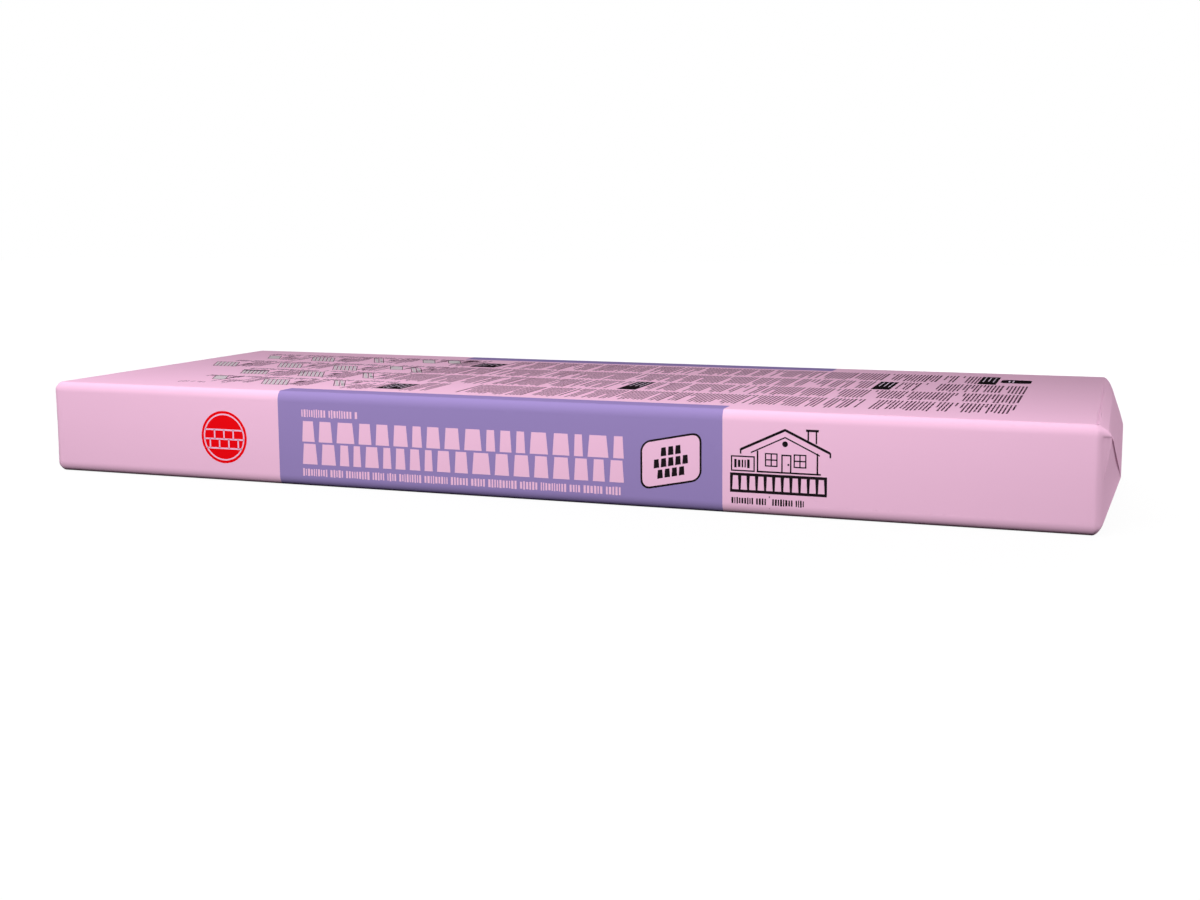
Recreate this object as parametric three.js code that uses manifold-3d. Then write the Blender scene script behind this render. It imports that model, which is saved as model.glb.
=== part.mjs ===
// Asphalt shingle bundle: laminated roof shingles laid in back-to-back pairs inside a tight
// plastic film wrapper with envelope-folded ends. Millimetres, +Z up, the length along X and
// the width along Y. The origin is under the middle of the bundle, on the face it lies on.
import * as THREE from 'three';
import { mergeVertices } from 'three/addons/utils/BufferGeometryUtils.js';
import Module from 'manifold-3d';

// Shingle: a toothed overlay sheet bonded on top of a half-width backing shim.
const shingleLength = 1000;
const shingleWidth = 337;
const shimGap = 1; // between the two shims of a pair, which lie side by side
const layerThickness = 2.5; // one coated, granule-faced layer
const exposure = 143; // depth of the tooth cut-outs, from the butt edge
const cutoutsPerShingle = 5;
const cutoutWidth = 92; // at the root, before it wanders
const cutoutFlare = 14; // how much wider a cut-out is at the butt edge
const cutoutWander = 17; // the most that a cut-out's place or width strays
const patternRepeat = 5; // the cutting drum's pattern comes round after this many shingles

// Stack
const pairCount = 11; // two shingles a pair
const layGap = 0.3; // the air that the granules keep between two shingles
const registerDrift = 1.5; // the most that a pair in the middle of the stack lies off line

// Film wrapper
const filmThickness = 0.4;
const filmGap = 0.3; // between the film and the top and bottom shingles
const edgeClearance = 1.3; // between the film's shoulder and the top shingle's sharp edge
const shoulderDrop = 8.5; // height of the rounded shoulders
const sideReach = 5.5; // how far a shoulder curls in over the long sides
const endReach = 5; // and over the ends
const cornerRadius = 5; // of the upright corners, at mid height
const shoulderSteps = 6;
const cornerSteps = 4;
const leastCorner = 1; // what is left of the corner radius at the flat faces

// Folded ends: a long top and bottom flap meet at a crest, and two gussets tuck in beside them.
const crestReach = 16; // how far the crest stands out past the end
const gussetDepth = 26; // from a long side to the crest's end
const foldStart = 2; // where the hip fold leaves the corner, at the flat faces
const gussetTuck = 2; // depth of the valley across the middle of a gusset
const lipOverlap = 3; // how far the top flap laps over a gusset
const lipLift = 0.9; // how high its free edge stands off the gusset
const lipRun = 22; // from the flap's free edge to where it lies flat again
const ventInset = 3; // the slot under the lip, from the hip fold
const ventWidth = 4.5;
const ventEnds = 0.1; // share of the fold that stays closed at each end of the slot

// Worked out from the sizes above
const shimWidth = (shingleWidth - shimGap) / 2;
const shingleThickness = 2 * layerThickness;
const pairThickness = shingleThickness + layerThickness + layGap;
const pairPitch = pairThickness + layGap;
const stackHeight = pairCount * pairPitch - layGap;
const stackFoot = filmThickness + filmGap;
const height = stackHeight + 2 * stackFoot;
const halfHeight = height / 2;
const halfLength = shingleLength / 2 + edgeRoom(endReach);
const halfWidth = shingleWidth / 2 + edgeRoom(sideReach);

const wasm = await Module();
wasm.setup();

// Room beside the stack, so that the film's curved shoulder clears the top shingle's edge.
function edgeRoom(reach) {
  const drop = shoulderDrop - filmThickness;
  const level = Math.max(0, (drop - filmGap) / drop);
  const inset = (reach - filmThickness) * (1 - Math.sqrt(1 - level * level));
  return filmThickness + inset + edgeClearance;
}

// A repeatable stray between -1 and 1 for piece n, feature k.
function wander(n, k) {
  return Math.sin(7.3 * n + 2.9 * k + 0.6);
}

function toSolid(geometry) {
  const bare = geometry.clone();
  bare.deleteAttribute('normal');
  bare.deleteAttribute('uv');
  const merged = mergeVertices(bare, 1e-4);
  return new wasm.Manifold(new wasm.Mesh({
    numProp: 3,
    vertProperties: new Float32Array(merged.attributes.position.array),
    triVerts: new Uint32Array(merged.index.array),
  }));
}

function toGeometry(solid) {
  const mesh = solid.getMesh();
  const geometry = new THREE.BufferGeometry();
  geometry.setAttribute('position', new THREE.BufferAttribute(mesh.vertProperties, 3));
  geometry.setIndex(new THREE.BufferAttribute(mesh.triVerts, 1));
  geometry.computeVertexNormals();
  return geometry;
}

// A closed skin through rings of points, each ring anticlockwise seen from the last ring's side,
// with a fan at each end.
function loft(rings) {
  const count = rings[0].length;
  const points = rings.flat();
  const index = [];
  for (let level = 1; level < rings.length; level += 1) {
    for (let i = 0; i < count; i += 1) {
      const next = (i + 1) % count;
      const low = (level - 1) * count;
      const high = level * count;
      index.push(low + i, low + next, high + next);
      index.push(low + i, high + next, high + i);
    }
  }
  const lastRing = (rings.length - 1) * count;
  for (let i = 1; i < count - 1; i += 1) {
    index.push(0, i + 1, i);
    index.push(lastRing, lastRing + i, lastRing + i + 1);
  }
  const geometry = new THREE.BufferGeometry().setFromPoints(points);
  geometry.setIndex(index);
  return geometry;
}

// The overlay seen from its face, with its butt edge towards -Y and a row of tapered cut-outs.
function overlayOutline(variant) {
  const butt = -shingleWidth / 2;
  const root = butt + exposure;
  const pitch = shingleLength / cutoutsPerShingle;
  const outline = new THREE.Shape();
  outline.moveTo(-shingleLength / 2, butt);
  for (let k = 0; k < cutoutsPerShingle; k += 1) {
    const middle = (k + 0.5) * pitch - shingleLength / 2 + cutoutWander * wander(variant, k);
    const rootHalf = (cutoutWidth + cutoutWander * wander(variant + 3, k + 1)) / 2;
    const mouthHalf = rootHalf + cutoutFlare / 2;
    outline.lineTo(middle - mouthHalf, butt);
    outline.lineTo(middle - rootHalf, root);
    outline.lineTo(middle + rootHalf, root);
    outline.lineTo(middle + mouthHalf, butt);
  }
  outline.lineTo(shingleLength / 2, butt);
  outline.lineTo(shingleLength / 2, shingleWidth / 2);
  outline.lineTo(-shingleLength / 2, shingleWidth / 2);
  outline.closePath();
  return outline;
}

// One laminated shingle, face up, with the bond between its two layers at z = 0.
function shingleGeometry(variant) {
  const overlay = new THREE.ExtrudeGeometry(overlayOutline(variant), {
    depth: layerThickness,
    bevelEnabled: false,
  });
  const shim = new THREE.BoxGeometry(shingleLength, shimWidth, layerThickness);
  shim.translate(0, (shimWidth - shingleWidth) / 2, -layerThickness / 2);
  return toGeometry(toSolid(overlay).add(toSolid(shim)));
}

function shingleMaterial(variant) {
  return new THREE.MeshStandardMaterial({
    color: new THREE.Color().setHSL(0.07, 0.06, 0.24 + 0.02 * variant),
    roughness: 0.95,
    metalness: 0,
  });
}

// Two shingles back to back: the lower one is turned over, and its shim lies beside the other's.
function shinglePair(pair) {
  const group = new THREE.Group();
  const sway = Math.sin((Math.PI * pair) / Math.max(1, pairCount - 1));
  group.position.x = registerDrift * sway * wander(pair, 1);
  group.position.y = registerDrift * sway * wander(pair, 4) / 2;
  group.position.z = stackFoot + pair * pairPitch;
  for (const side of [0, 1]) {
    const number = 2 * pair + side;
    const variant = number % patternRepeat;
    const mesh = new THREE.Mesh(shingleGeometry(variant), shingleMaterial(variant));
    mesh.name = `shingle_${String(number + 1).padStart(2, '0')}`;
    mesh.rotation.x = side === 0 ? Math.PI : 0;
    mesh.position.z = layerThickness + side * (layerThickness + layGap);
    group.add(mesh);
  }
  return group;
}

// How far up the end fold a height is: 0 at the flat faces and 1 at the crest.
function foldShare(z) {
  return 1 - Math.abs(z - halfHeight) / halfHeight;
}

// The hip fold's place at one height, on the quarter with x and y positive. `curl` is the part
// of the shoulder's reach that is gone there, and `skin` how far inside the film's outer face.
function hipPoint(z, curl, skin) {
  const radius = cornerAt(curl, skin);
  const share = foldShare(z);
  const fromCorner = foldStart + (gussetDepth - cornerRadius - foldStart) * share;
  const x = halfLength - skin - (endReach - skin) * curl + crestReach * share;
  const y = halfWidth - skin - (sideReach - skin) * curl - radius - fromCorner;
  return new THREE.Vector3(x, y, z);
}

function cornerAt(curl, skin) {
  return Math.max(leastCorner, cornerRadius * (1 - curl)) - skin;
}

// The quarter of one ring with x and y positive: hip fold, gusset valley, upright corner.
function quarterRing(z, curl, skin) {
  const radius = cornerAt(curl, skin);
  const hip = hipPoint(z, curl, skin);
  const centreX = halfLength - skin - (endReach - skin) * curl - radius;
  const centreY = halfWidth - skin - (sideReach - skin) * curl - radius;
  const valleyX = (hip.x + centreX + radius) / 2 - gussetTuck * foldShare(z) ** 2;
  const points = [hip, new THREE.Vector3(valleyX, (hip.y + centreY) / 2, z)];
  for (let i = 0; i <= cornerSteps; i += 1) {
    const angle = (i / cornerSteps) * (Math.PI / 2);
    const x = centreX + radius * Math.cos(angle);
    points.push(new THREE.Vector3(x, centreY + radius * Math.sin(angle), z));
  }
  return points;
}

function wholeRing(z, curl, skin) {
  const quarter = quarterRing(z, curl, skin);
  const turned = [...quarter].reverse();
  const place = (points, sx, sy) => points.map((p) => new THREE.Vector3(sx * p.x, sy * p.y, p.z));
  return [...place(quarter, 1, 1), ...place(turned, -1, 1),
    ...place(quarter, -1, -1), ...place(turned, 1, -1)];
}

// The bundle's packed form, `skin` inside the film's outer face.
function packedForm(skin) {
  const drop = shoulderDrop - skin;
  const low = [];
  for (let i = 0; i <= shoulderSteps; i += 1) {
    const angle = (i / shoulderSteps) * (Math.PI / 2);
    low.push({ z: skin + drop * (1 - Math.cos(angle)), curl: 1 - Math.sin(angle) });
  }
  const high = low.map(({ z, curl }) => ({ z: height - z, curl })).reverse();
  const levels = [...low, { z: halfHeight, curl: 0 }, ...high];
  return loft(levels.map(({ z, curl }) => wholeRing(z, curl, skin)));
}

// The upper hip fold of one gusset, from the shoulder down to the crest.
function hipFold(endSide, longSide) {
  const place = (p) => new THREE.Vector3(endSide * p.x, longSide * p.y, p.z);
  const top = place(hipPoint(height - shoulderDrop, 0, 0));
  const crest = place(hipPoint(halfHeight, 0, 0));
  return { top, crest, endSide, longSide };
}

// A bar along a hip fold, from one share of its way to another, 0 at the crest. Its section is
// level and given as [across, out] pairs: across the top flap, and out past its face.
function foldBar(fold, section, from, to) {
  const ring = (share) => {
    const points = section.map(([across, out]) => fold.crest.clone().lerp(fold.top, share)
      .add(new THREE.Vector3(fold.endSide * out, -fold.longSide * across, 0)));
    return fold.endSide * fold.longSide > 0 ? points.reverse() : points;
  };
  return toSolid(loft([ring(from), ring(to)]));
}

// The top flap's free edge: film that lifts off the end and laps over the gusset.
function flapLip(fold) {
  const section = [
    [-lipOverlap, lipLift - filmThickness], [-lipOverlap, lipLift],
    [lipRun, 0], [lipRun, -filmThickness],
  ];
  return foldBar(fold, section, 0, 1);
}

// The slot under the lip, where the gusset's film runs out and the wrapper is open.
function lipVent(fold) {
  const far = ventInset + ventWidth;
  const section = [[ventInset, -2 * filmThickness], [ventInset, filmThickness],
    [far, filmThickness], [far, -2 * filmThickness]];
  return foldBar(fold, section, ventEnds, 1 - ventEnds);
}

function wrapperMesh() {
  let solid = toSolid(packedForm(0)).subtract(toSolid(packedForm(filmThickness)));
  const folds = [[1, 1], [1, -1], [-1, 1], [-1, -1]].map(([x, y]) => hipFold(x, y));
  for (const fold of folds) solid = solid.subtract(lipVent(fold));
  for (const fold of folds) solid = solid.add(flapLip(fold));
  const material = new THREE.MeshStandardMaterial({ color: 0xe6b4d2, roughness: 0.35, metalness: 0 });
  const mesh = new THREE.Mesh(toGeometry(solid), material);
  mesh.name = 'film_wrapper';
  return mesh;
}

const bundle = new THREE.Group();
bundle.name = 'asphalt_shingle_bundle';
bundle.add(wrapperMesh());
for (let pair = 0; pair < pairCount; pair += 1) bundle.add(shinglePair(pair));

export default bundle;
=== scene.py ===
import bpy
import bmesh
import math
import random
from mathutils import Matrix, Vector


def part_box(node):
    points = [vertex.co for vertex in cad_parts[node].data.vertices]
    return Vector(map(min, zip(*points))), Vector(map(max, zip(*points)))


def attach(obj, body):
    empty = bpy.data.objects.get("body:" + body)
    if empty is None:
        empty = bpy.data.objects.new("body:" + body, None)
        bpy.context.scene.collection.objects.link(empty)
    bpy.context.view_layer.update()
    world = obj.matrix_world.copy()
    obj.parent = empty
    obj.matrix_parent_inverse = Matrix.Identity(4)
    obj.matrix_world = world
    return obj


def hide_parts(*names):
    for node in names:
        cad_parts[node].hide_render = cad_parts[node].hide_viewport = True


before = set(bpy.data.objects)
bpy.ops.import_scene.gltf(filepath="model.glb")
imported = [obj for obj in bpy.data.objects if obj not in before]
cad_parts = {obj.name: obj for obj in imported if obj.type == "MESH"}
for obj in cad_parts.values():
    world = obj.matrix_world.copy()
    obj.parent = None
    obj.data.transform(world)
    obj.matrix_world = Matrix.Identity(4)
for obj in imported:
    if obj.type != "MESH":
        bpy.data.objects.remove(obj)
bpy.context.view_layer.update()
_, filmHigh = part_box("film_wrapper")
mm = 0.001
tiny = 1e-6
facing = 0.9  # how far along an axis a face's normal goes, for a face that faces that way


def focus(obj):
    if bpy.context.object and bpy.context.object.mode != "OBJECT":
        bpy.ops.object.mode_set(mode="OBJECT")
    bpy.ops.object.select_all(action="DESELECT")
    obj.select_set(True)
    bpy.context.view_layer.objects.active = obj


def edit(obj, kind="FACE"):
    focus(obj)
    bpy.ops.object.mode_set(mode="EDIT")
    bpy.ops.mesh.select_mode(type=kind)
    bpy.ops.mesh.select_all(action="DESELECT")


def done():
    bpy.ops.object.mode_set(mode="OBJECT")


def pickFaces(obj, test):
    mesh = bmesh.from_edit_mesh(obj.data)
    for face in mesh.faces:
        face.select_set(bool(test(face.calc_center_median(), face.normal)))
    bmesh.update_edit_mesh(obj.data)


def pickEdges(obj, test):
    mesh = bmesh.from_edit_mesh(obj.data)
    for edge in mesh.edges:
        edge.select_set(bool(test(edge)))
    bmesh.update_edit_mesh(obj.data)


def applyAll(obj):
    focus(obj)
    for modifier in list(obj.modifiers):
        bpy.ops.object.modifier_apply(modifier=modifier.name)


def cut(obj, point, normal, test=None):
    edit(obj)
    if test:
        pickFaces(obj, test)
    else:
        bpy.ops.mesh.select_all(action="SELECT")
    bpy.ops.mesh.bisect(plane_co=point, plane_no=normal, use_fill=False, threshold=1e-7)
    done()


inks = {
    "pink": (237, 188, 217),
    "lilac": (147, 128, 183),
    "pale": (238, 214, 238),
    "black": (30, 24, 28),
    "print": (48, 20, 38),
    "red": (238, 10, 20),
    "grey": (210, 198, 205),
}


# From a printed colour, 0 to 255, to the shader's own values.
def linear(rgb):
    out = []
    for channel in rgb:
        c = channel / 255
        out.append(c / 12.92 if c <= 0.04045 else ((c + 0.055) / 1.055) ** 2.4)
    return (*out, 1)


def newPaint(name, rough, specular=0.3):
    paint = bpy.data.materials.new(name)
    paint.use_nodes = True
    shader = paint.node_tree.nodes["Principled BSDF"]
    shader.inputs["Roughness"].default_value = rough
    shader.inputs["Specular IOR Level"].default_value = specular
    return paint, paint.node_tree.nodes, paint.node_tree.links, shader


# A stretch below 1 draws the pattern out along that axis.
def stretchedNoise(nodes, links, coords, scale, detail, stretch=(1, 1, 1)):
    mapping = nodes.new("ShaderNodeMapping")
    mapping.inputs["Scale"].default_value = stretch
    noise = nodes.new("ShaderNodeTexNoise")
    noise.inputs["Scale"].default_value = scale
    noise.inputs["Detail"].default_value = detail
    links.new(coords.outputs["Object"], mapping.inputs["Vector"])
    links.new(mapping.outputs["Vector"], noise.inputs["Vector"])
    return noise.outputs["Fac"]


def blendColours(nodes, links, factor, first, second):
    mix = nodes.new("ShaderNodeMix")
    mix.data_type = "RGBA"
    mix.inputs[6].default_value = first  # the sockets of a mix of colours have numbers only
    mix.inputs[7].default_value = second
    links.new(factor, mix.inputs[0])
    return mix.outputs[2]


def remap(nodes, links, value, low, high, fromLow=0, fromHigh=1):
    spread = nodes.new("ShaderNodeMapRange")
    spread.inputs["From Min"].default_value = fromLow
    spread.inputs["From Max"].default_value = fromHigh
    spread.inputs["To Min"].default_value = low
    spread.inputs["To Max"].default_value = high
    links.new(value, spread.inputs["Value"])
    return spread.outputs["Result"]


def addBump(nodes, links, height, distance, strength, under=None):
    bump = nodes.new("ShaderNodeBump")
    bump.inputs["Strength"].default_value = strength
    bump.inputs["Distance"].default_value = distance
    links.new(height, bump.inputs["Height"])
    if under:
        links.new(under, bump.inputs["Normal"])
    return bump.outputs["Normal"]


filmLook = {
    "rough": (0.4, 0.52),
    "streaks": 22,
    "streakDim": 0.965,  # how much darker the film is in a streak
    "waves": 14,
    "waveHeight": 0.6 * mm,
    "crinkles": 260,
    "crinkleHeight": 0.1 * mm,
}


# Printed polyethylene film: an even ink with faint streaks, a roughness that varies with them but no
# specular, and fine crinkles.
def filmPaint(name, rgb):
    look = filmLook
    paint, nodes, links, shader = newPaint(name, 0.5, 0.0)
    coords = nodes.new("ShaderNodeTexCoord")
    streaks = stretchedNoise(nodes, links, coords, look["streaks"], 3, (0.12, 1, 1))
    base = linear(rgb)
    dim = tuple(c * look["streakDim"] for c in base[:3]) + (1,)
    links.new(blendColours(nodes, links, streaks, base, dim), shader.inputs["Base Color"])
    links.new(remap(nodes, links, streaks, *look["rough"]), shader.inputs["Roughness"])
    waves = stretchedNoise(nodes, links, coords, look["waves"], 2, (0.3, 1, 1))
    crinkle = stretchedNoise(nodes, links, coords, look["crinkles"], 4, (0.6, 1, 1))
    soft = addBump(nodes, links, waves, look["waveHeight"], 0.2)
    creased = addBump(nodes, links, crinkle, look["crinkleHeight"], 0.1, soft)
    links.new(creased, shader.inputs["Normal"])
    return paint


inkLook = {
    "rough": (0.45, 0.57),
    "mottle": 420,
    "mottleDim": 0.9,
    "relief": 0.02 * mm,
}


# Flexographic ink: slightly mottled, a touch rougher than the film round it.
def inkPaint(name, rgb):
    look = inkLook
    paint, nodes, links, shader = newPaint(name, 0.5, 0)
    coords = nodes.new("ShaderNodeTexCoord")
    mottle = stretchedNoise(nodes, links, coords, look["mottle"], 3)
    base = linear(rgb)
    dim = tuple(c * look["mottleDim"] for c in base[:3]) + (1,)
    links.new(blendColours(nodes, links, mottle, base, dim), shader.inputs["Base Color"])
    links.new(remap(nodes, links, mottle, *look["rough"]), shader.inputs["Roughness"])
    links.new(addBump(nodes, links, mottle, look["relief"], 0.3), shader.inputs["Normal"])
    return paint


finePrintLook = {
    "rough": (0.44, 0.56),
    "letter": 0.8 * mm,  # how far apart the strokes of a word stand
    "bare": 0.72,  # where the pattern lies above this, the film shows
    "blur": 0.02,
    "relief": 0.02 * mm,
}


# Small print: lines of black broken into letter-sized strokes over the film's own colour.
def finePrintPaint(name, inked, bare):
    look = finePrintLook
    paint, nodes, links, shader = newPaint(name, 0.5, 0)
    coords = nodes.new("ShaderNodeTexCoord")
    strokes = stretchedNoise(nodes, links, coords, 1 / look["letter"], 1, (0.4, 1, 1))
    mask = remap(nodes, links, strokes, 0, 1, look["bare"] - look["blur"], look["bare"] + look["blur"])
    printed = blendColours(nodes, links, mask, linear(inked), linear(bare))
    links.new(printed, shader.inputs["Base Color"])
    links.new(remap(nodes, links, strokes, *look["rough"]), shader.inputs["Roughness"])
    links.new(addBump(nodes, links, strokes, look["relief"], 0.2), shader.inputs["Normal"])
    return paint


granules = {
    "cells": 700,
    "shades": ((0, 0.018), (0.3, 0.05), (0.55, 0.11), (0.8, 0.2)),  # from which share on, how light
    "warmth": 0.06,
    "relief": 0.6 * mm,
    "shingles": 22,  # how many nodes take this paint
    "tones": (0.9, 0.95, 1.0, 1.05, 1.1),  # one shingle after another
}


# Ceramic-coated granules pressed into asphalt.
def granulePaint(name, tone):
    look = granules
    paint, nodes, links, shader = newPaint(name, 0.9)
    coords = nodes.new("ShaderNodeTexCoord")
    cells = nodes.new("ShaderNodeTexVoronoi")
    cells.inputs["Scale"].default_value = look["cells"]
    links.new(coords.outputs["Object"], cells.inputs["Vector"])
    ramp = nodes.new("ShaderNodeValToRGB")
    ramp.color_ramp.interpolation = "CONSTANT"
    shades = look["shades"]
    ramp.color_ramp.elements[0].position = shades[0][0]
    ramp.color_ramp.elements[1].position = shades[1][0]
    for place, _ in shades[2:]:
        ramp.color_ramp.elements.new(place)
    for element, (_, light) in zip(ramp.color_ramp.elements, shades):
        grey = light * tone
        element.color = (grey * (1 + look["warmth"]), grey, grey * (1 - look["warmth"]), 1)
    split = nodes.new("ShaderNodeSeparateColor")
    links.new(cells.outputs["Color"], split.inputs["Color"])
    links.new(split.outputs["Red"], ramp.inputs["Fac"])
    links.new(ramp.outputs["Color"], shader.inputs["Base Color"])
    bump = nodes.new("ShaderNodeBump")
    bump.inputs["Distance"].default_value = look["relief"]
    bump.invert = True
    links.new(cells.outputs["Distance"], bump.inputs["Height"])
    links.new(bump.outputs["Normal"], shader.inputs["Normal"])
    return paint


view = {
    "place": (0.52266, -1.29645, 0.2533),
    "tilt": 83.9347,
    "roll": 0.764,
    "turn": 16.532,
    "frame": (1200, 900),
    "focal": 1380.9,  # in pixels of that frame
    "centre": (699.09, 364.16),  # where the lens looks, from the frame's upper left
    "sensor": 36,
    "clip": (0.01, 60),
}


def addCamera():
    bpy.ops.object.camera_add(location=view["place"])
    camera = bpy.context.object
    camera.rotation_mode = "YXZ"
    camera.rotation_euler = [math.radians(view[angle]) for angle in ("tilt", "roll", "turn")]
    width, height = view["frame"]
    camera.data.sensor_width = view["sensor"]
    camera.data.lens = view["sensor"] * view["focal"] / width
    camera.data.shift_x = (width / 2 - view["centre"][0]) / width
    camera.data.shift_y = (view["centre"][1] - height / 2) / width
    camera.data.clip_start, camera.data.clip_end = view["clip"]
    bpy.context.scene.camera = camera


addCamera()
print("camera set")


wrap = {
    "film": 0.3 * mm,
    "inkRoom": 0.1 * mm,  # the print stands this high, up to the wrapper's full size
    "standRoom": 0.9 * mm,  # and the flap may stand this far out past the end folds
    "endReach": 5 * mm,  # how far the film bows in round the bundle's rims: along the length,
    "sideReach": 5.5 * mm,  # across it
    "drop": 9.5 * mm,  # and down from the top
    "shoulderSteps": 10,
    "support": 1.2 * mm,  # from the shoulders to the edge loops that keep the sides flat
    "smoothAngle": 12,  # where the film turns by more than this, in degrees, its edge is sharp
    "crestReach": 16 * mm,  # how far the end folds come out
    "crestHeight": 0.8 * mm,  # of its flat edge
    "foldSteps": 12,
    "gussetDepth": 26 * mm,  # from a long side to the crest's end
    "tuck": 1.0 * mm,  # how far the side folds are drawn in
    "flapCrease": (5.5 * mm, 5.2 * mm),  # outward from the body's end, down from the top
    "flapLean": 1.6,  # outward over down, from the root to that crease
    "rootOut": -3 * mm,  # where the root lies, beside the body's end
    "rootCrease": 1.2 * mm,  # how deep the valley along the root is
    "rootRun": 1.1 * mm,  # how far down from the top the valley goes
    "standFrom": 18 * mm,  # from the back side to where the flap begins to stand off
    "standRun": 90 * mm,  # how far it takes to stand off in full
    "frontStand": 0.65,  # how much more the flap's front end stands off, below that crease
    "frontRun": 50 * mm,  # how far from the front side that goes on
    "frontFade": 5 * mm,  # how far below the crease it grows to its full share
    "cornerBlend": 0.04,  # how softly the stand spreads over the side fold at the root
    "frontRows": (9, 14, 22, 34),  # where the flap gets more points, in mm from the front side
    "backRows": (20, 36, 60, 95, 140),  # and from the back side
    "rootSlack": 1e-4,  # how near to the root and to a hip counts as on it, in half heights
    "hipSlack": 0.002,
    "lipRoom": 0.4 * mm,  # how far a flap's free edge stands off the side fold
    "lipOverlap": 1.7 * mm,  # how far it laps past the crease
    "lipLift": 0.2 * mm,  # how far it lifts there
    "lipFade": 0.3,  # over which share of its length the lap grows and fades
    "rightLipFade": 0.06,  # the same at the root of the right end's flap
    "underlap": 6 * mm,  # how far the side fold runs on under the flap
    "underDip": 0.25 * mm,  # how much deeper it lies there
    "frontBand": (-246.4 * mm, 193.8 * mm),
    "backBand": (-210.0 * mm, 223.0 * mm),
    "frontLap": 24 * mm,  # how far the band runs onto the top and the underside
    "backLap": 30 * mm,
    "seam": (-34 * mm, -22 * mm),  # the welded lap along the underside
    "seamEdge": 1 * mm,  # over which it steps inward on either side
    "seamDip": 0.25 * mm,
}
halfLength = filmHigh.x - wrap["crestReach"] - wrap["standRoom"]
halfWidth = filmHigh.y - wrap["inkRoom"]
topZ = filmHigh.z - wrap["inkRoom"]
midZ = topZ / 2
slack = 0.1 * mm  # how near to a face or a rim of the bundle counts as on it
diagonal = 0.7071  # along each axis, for a step square to a fold at 45 degrees


# A box with elliptical shoulders: squashed, bevelled round and set back to its size.
def addWrapper():
    s = wrap
    squashX = s["sideReach"] / s["endReach"]
    squashZ = s["sideReach"] / s["drop"]
    bpy.ops.mesh.primitive_cube_add(size=1, location=(0, 0, midZ))
    film = bpy.context.object
    film.name = "printed_film"
    film.scale = (2 * halfLength * squashX, 2 * halfWidth, topZ * squashZ)
    bpy.ops.object.transform_apply(location=False)
    edit(film, "EDGE")
    bpy.ops.mesh.select_all(action="SELECT")
    bpy.ops.mesh.bevel(offset=s["sideReach"], segments=s["shoulderSteps"], profile=0.5, affect="EDGES")
    done()
    film.scale = (1 / squashX, 1, 1 / squashZ)
    bpy.ops.object.transform_apply()
    film.data.update()
    return film


# Edge loops beside the shoulders, so that the flat sides stay flat when shaded smooth.
def addSupportCuts(film):
    s = wrap
    insideX = halfLength - s["endReach"] - s["support"]
    insideY = halfWidth - s["sideReach"] - s["support"]
    lowZ = s["drop"] + s["support"]
    for side in (-1, 1):
        cut(film, (side * insideX, 0, 0), (1, 0, 0))
        cut(film, (0, side * insideY, 0), (0, 1, 0))
    cut(film, (0, 0, lowZ), (0, 0, 1))
    cut(film, (0, 0, topZ - lowZ), (0, 0, 1))


# The lilac bands of the long sides, which run onto the top and the underside.
def cutBands(film):
    for side, name in ((-1, "front"), (1, "back")):
        left, right = wrap[name + "Band"]
        edgeY = side * (halfWidth - wrap[name + "Lap"])
        cut(film, (0, edgeY, 0), (0, 1, 0), lambda c, n: abs(n.z) > facing)
        for x in (left, right):
            cut(film, (x, 0, 0), (1, 0, 0), lambda c, n: side * c.y > side * edgeY)
        for face in film.data.polygons:
            if left < face.center.x < right and side * face.center.y > side * edgeY:
                face.material_index = 1


def onEndFace(co):
    return abs(co.y) < halfWidth - wrap["sideReach"] and abs(co.z - midZ) < midZ - wrap["drop"]


# Rings of faces on both ends, from the shoulders to the crest, for raiseEnds to draw out.
def foldEnds(film):
    s = wrap
    edit(film)
    step = (midZ - s["drop"] - s["crestHeight"] / 2) / s["foldSteps"]
    for side in (-1, 1):
        pickFaces(film, lambda c, n: side * n.x > facing and onEndFace(c))
        for _ in range(s["foldSteps"]):
            bpy.ops.mesh.inset(thickness=step, depth=0, use_even_offset=True)
    done()


# How far a point of an end lies from the top or bottom edge, and from the side, up to 1 at the crest.
def shares(co):
    up = 1 - abs(co.z - midZ) / midZ
    side = (halfWidth - abs(co.y) + wrap["drop"] - wrap["sideReach"]) / midZ
    return max(0, up), max(0, side)


# Four planes rise to the crest, and the two side folds among them are drawn in a little.
def raiseEnds(film):
    s = wrap
    for vertex in film.data.vertices:
        co = vertex.co
        if abs(co.x) < halfLength - s["endReach"] - tiny:
            continue
        up, side = shares(co)
        reach = s["crestReach"] * min(1, up, side)
        if side < up:
            across = max(0, 1 - abs(co.z - midZ) / (midZ * max(0.001, 1 - side)))
            along = max(0, min(1, side))
            reach -= s["tuck"] * 4 * along * (1 - along) * across
        co.x += math.copysign(reach, co.x)
    film.data.update()


# Extra rows of points across each end, where the top flap is shaped.
def cutFlaps(film):
    for fromSide in wrap["frontRows"]:
        flapCut(film, fromSide * mm - halfWidth)
    for fromSide in wrap["backRows"]:
        flapCut(film, halfWidth - fromSide * mm)


def flapCut(film, y):
    rootX = halfLength - wrap["endReach"] - wrap["support"]
    cut(film, (0, y, 0), (0, 1, 0), lambda c, n: abs(c.x) > rootX and c.z > midZ)


# How much farther out than a plain fold the top flap stands at a height.
def flapStand(z):
    s = wrap
    creaseX, creaseDrop = s["flapCrease"]
    down = topZ - z
    if down < tiny:
        stood = s["rootOut"]
    elif down < creaseDrop:
        stood = creaseX - (creaseDrop - down) * s["flapLean"]
    else:
        stood = creaseX + (s["crestReach"] - creaseX) * (down - creaseDrop) / (midZ - creaseDrop)
    rise = max(0, 1 - down / s["drop"])
    plain = s["crestReach"] * down / midZ - s["endReach"] * (1 - math.sqrt(1 - rise * rise))
    return stood - plain


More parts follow.
